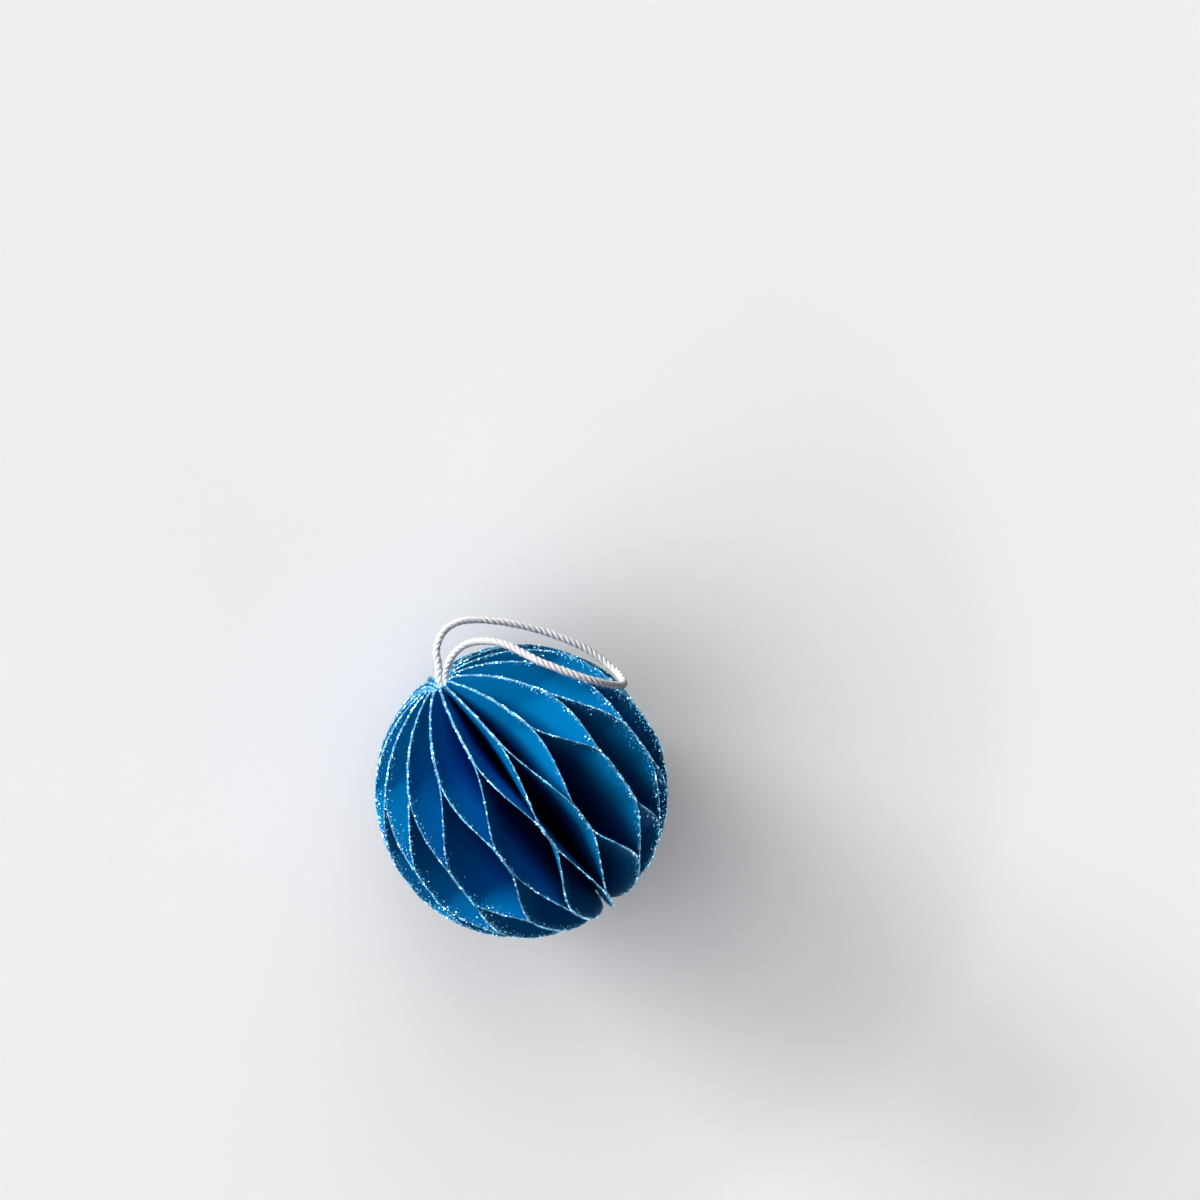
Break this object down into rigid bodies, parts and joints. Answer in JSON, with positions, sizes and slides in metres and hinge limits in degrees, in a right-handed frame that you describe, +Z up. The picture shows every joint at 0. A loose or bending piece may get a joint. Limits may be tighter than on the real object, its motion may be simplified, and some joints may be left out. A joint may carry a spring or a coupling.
{
  "type": "honeycomb paper ball ornament",
  "caption": "Honeycomb ball of fanned half round paper leaves with glittered edges, glued in alternating bands, on a loop of twisted cord.",
  "frame": {"origin": "on the floor under the middle of the ball, which lies on its side", "axes": "+Z up, +Y along the ball's axis towards the pole where the cord loop leaves it, +X to the side on which the loop lies"},
  "size_m": [0.0804, 0.0892, 0.0787],
  "materials": {
    "blue_paper": "stiff satin blue paper, silver and pale blue glitter on the round edges",
    "binding_glue": "dried glue stained blue by the paper",
    "white_cord": "twisted three strand white cotton cord, slightly fuzzy"
  },
  "bodies": {
    "root": {"leaf_01": "blue_paper", "leaf_02": "blue_paper", "leaf_03": "blue_paper", "leaf_04": "blue_paper", "leaf_05": "blue_paper", "leaf_06": "blue_paper", "leaf_07": "blue_paper", "leaf_08": "blue_paper", "leaf_09": "blue_paper", "leaf_10": "blue_paper", "leaf_11": "blue_paper", "leaf_12": "blue_paper", "leaf_13": "blue_paper", "leaf_14": "blue_paper", "leaf_15": "blue_paper", "leaf_16": "blue_paper", "leaf_17": "blue_paper", "leaf_18": "blue_paper", "leaf_19": "blue_paper", "leaf_20": "blue_paper", "leaf_21": "blue_paper", "leaf_22": "blue_paper", "leaf_23": "blue_paper", "leaf_24": "blue_paper", "leaf_25": "blue_paper", "leaf_26": "blue_paper", "leaf_27": "blue_paper", "leaf_28": "blue_paper", "leaf_29": "blue_paper", "leaf_30": "blue_paper", "leaf_31": "blue_paper", "leaf_32": "blue_paper", "leaf_33": "blue_paper", "leaf_34": "blue_paper", "leaf_35": "blue_paper", "leaf_36": "blue_paper", "spine_binding": "binding_glue", "hanging_cord": "white_cord"}
  },
  "joints": []
}
